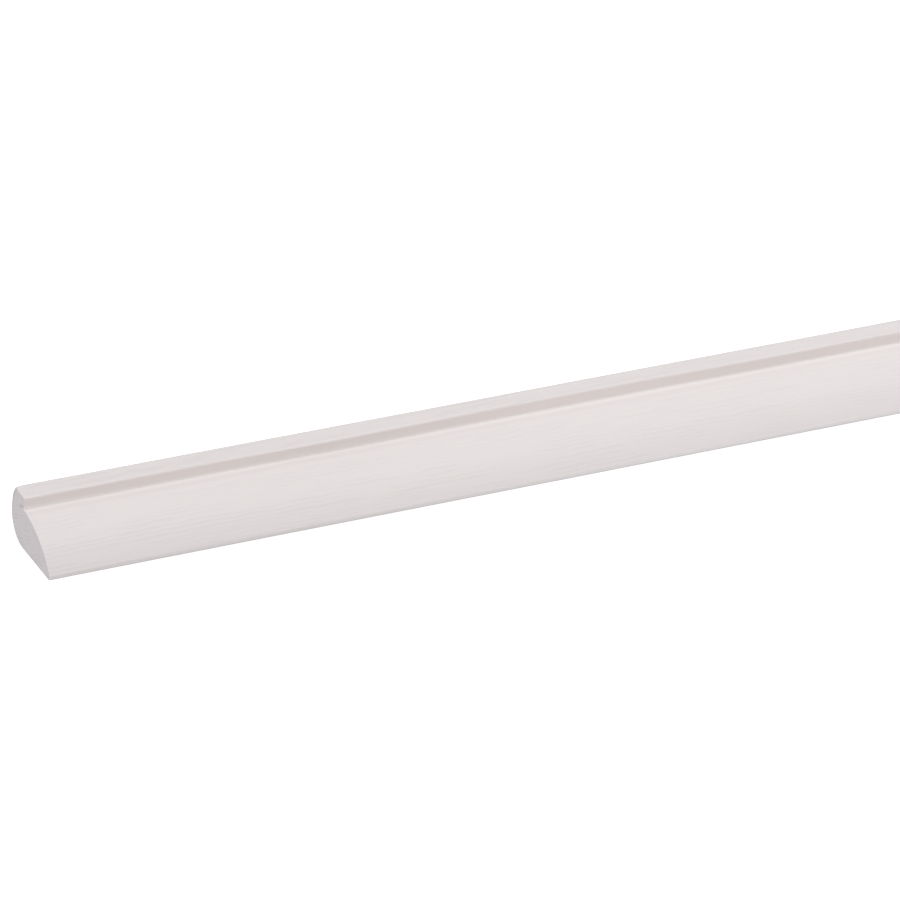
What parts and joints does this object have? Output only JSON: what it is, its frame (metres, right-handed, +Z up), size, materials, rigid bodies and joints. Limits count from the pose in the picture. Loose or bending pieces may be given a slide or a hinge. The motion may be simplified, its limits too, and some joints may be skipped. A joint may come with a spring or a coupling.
{
  "type": "glazing bead",
  "caption": "Straight length of white-primed softwood glazing bead with a quirked ovolo face, a flat band, a rounded heel and a wide flat glass face.",
  "frame": {"origin": "middle of the bead's length and width, on the plane of the wide flat glass face it lies on", "axes": "+X along the bead, +Z up out of the glass face, -Y towards the thin moulded edge, +Y out of the flat back that sits on the rebate"},
  "size_m": [2.4, 0.022, 0.013],
  "materials": {
    "white_primer": "matt white primer over planed softwood, faint grain showing through"
  },
  "bodies": {
    "root": {"glazing_bead": "white_primer"}
  },
  "joints": []
}
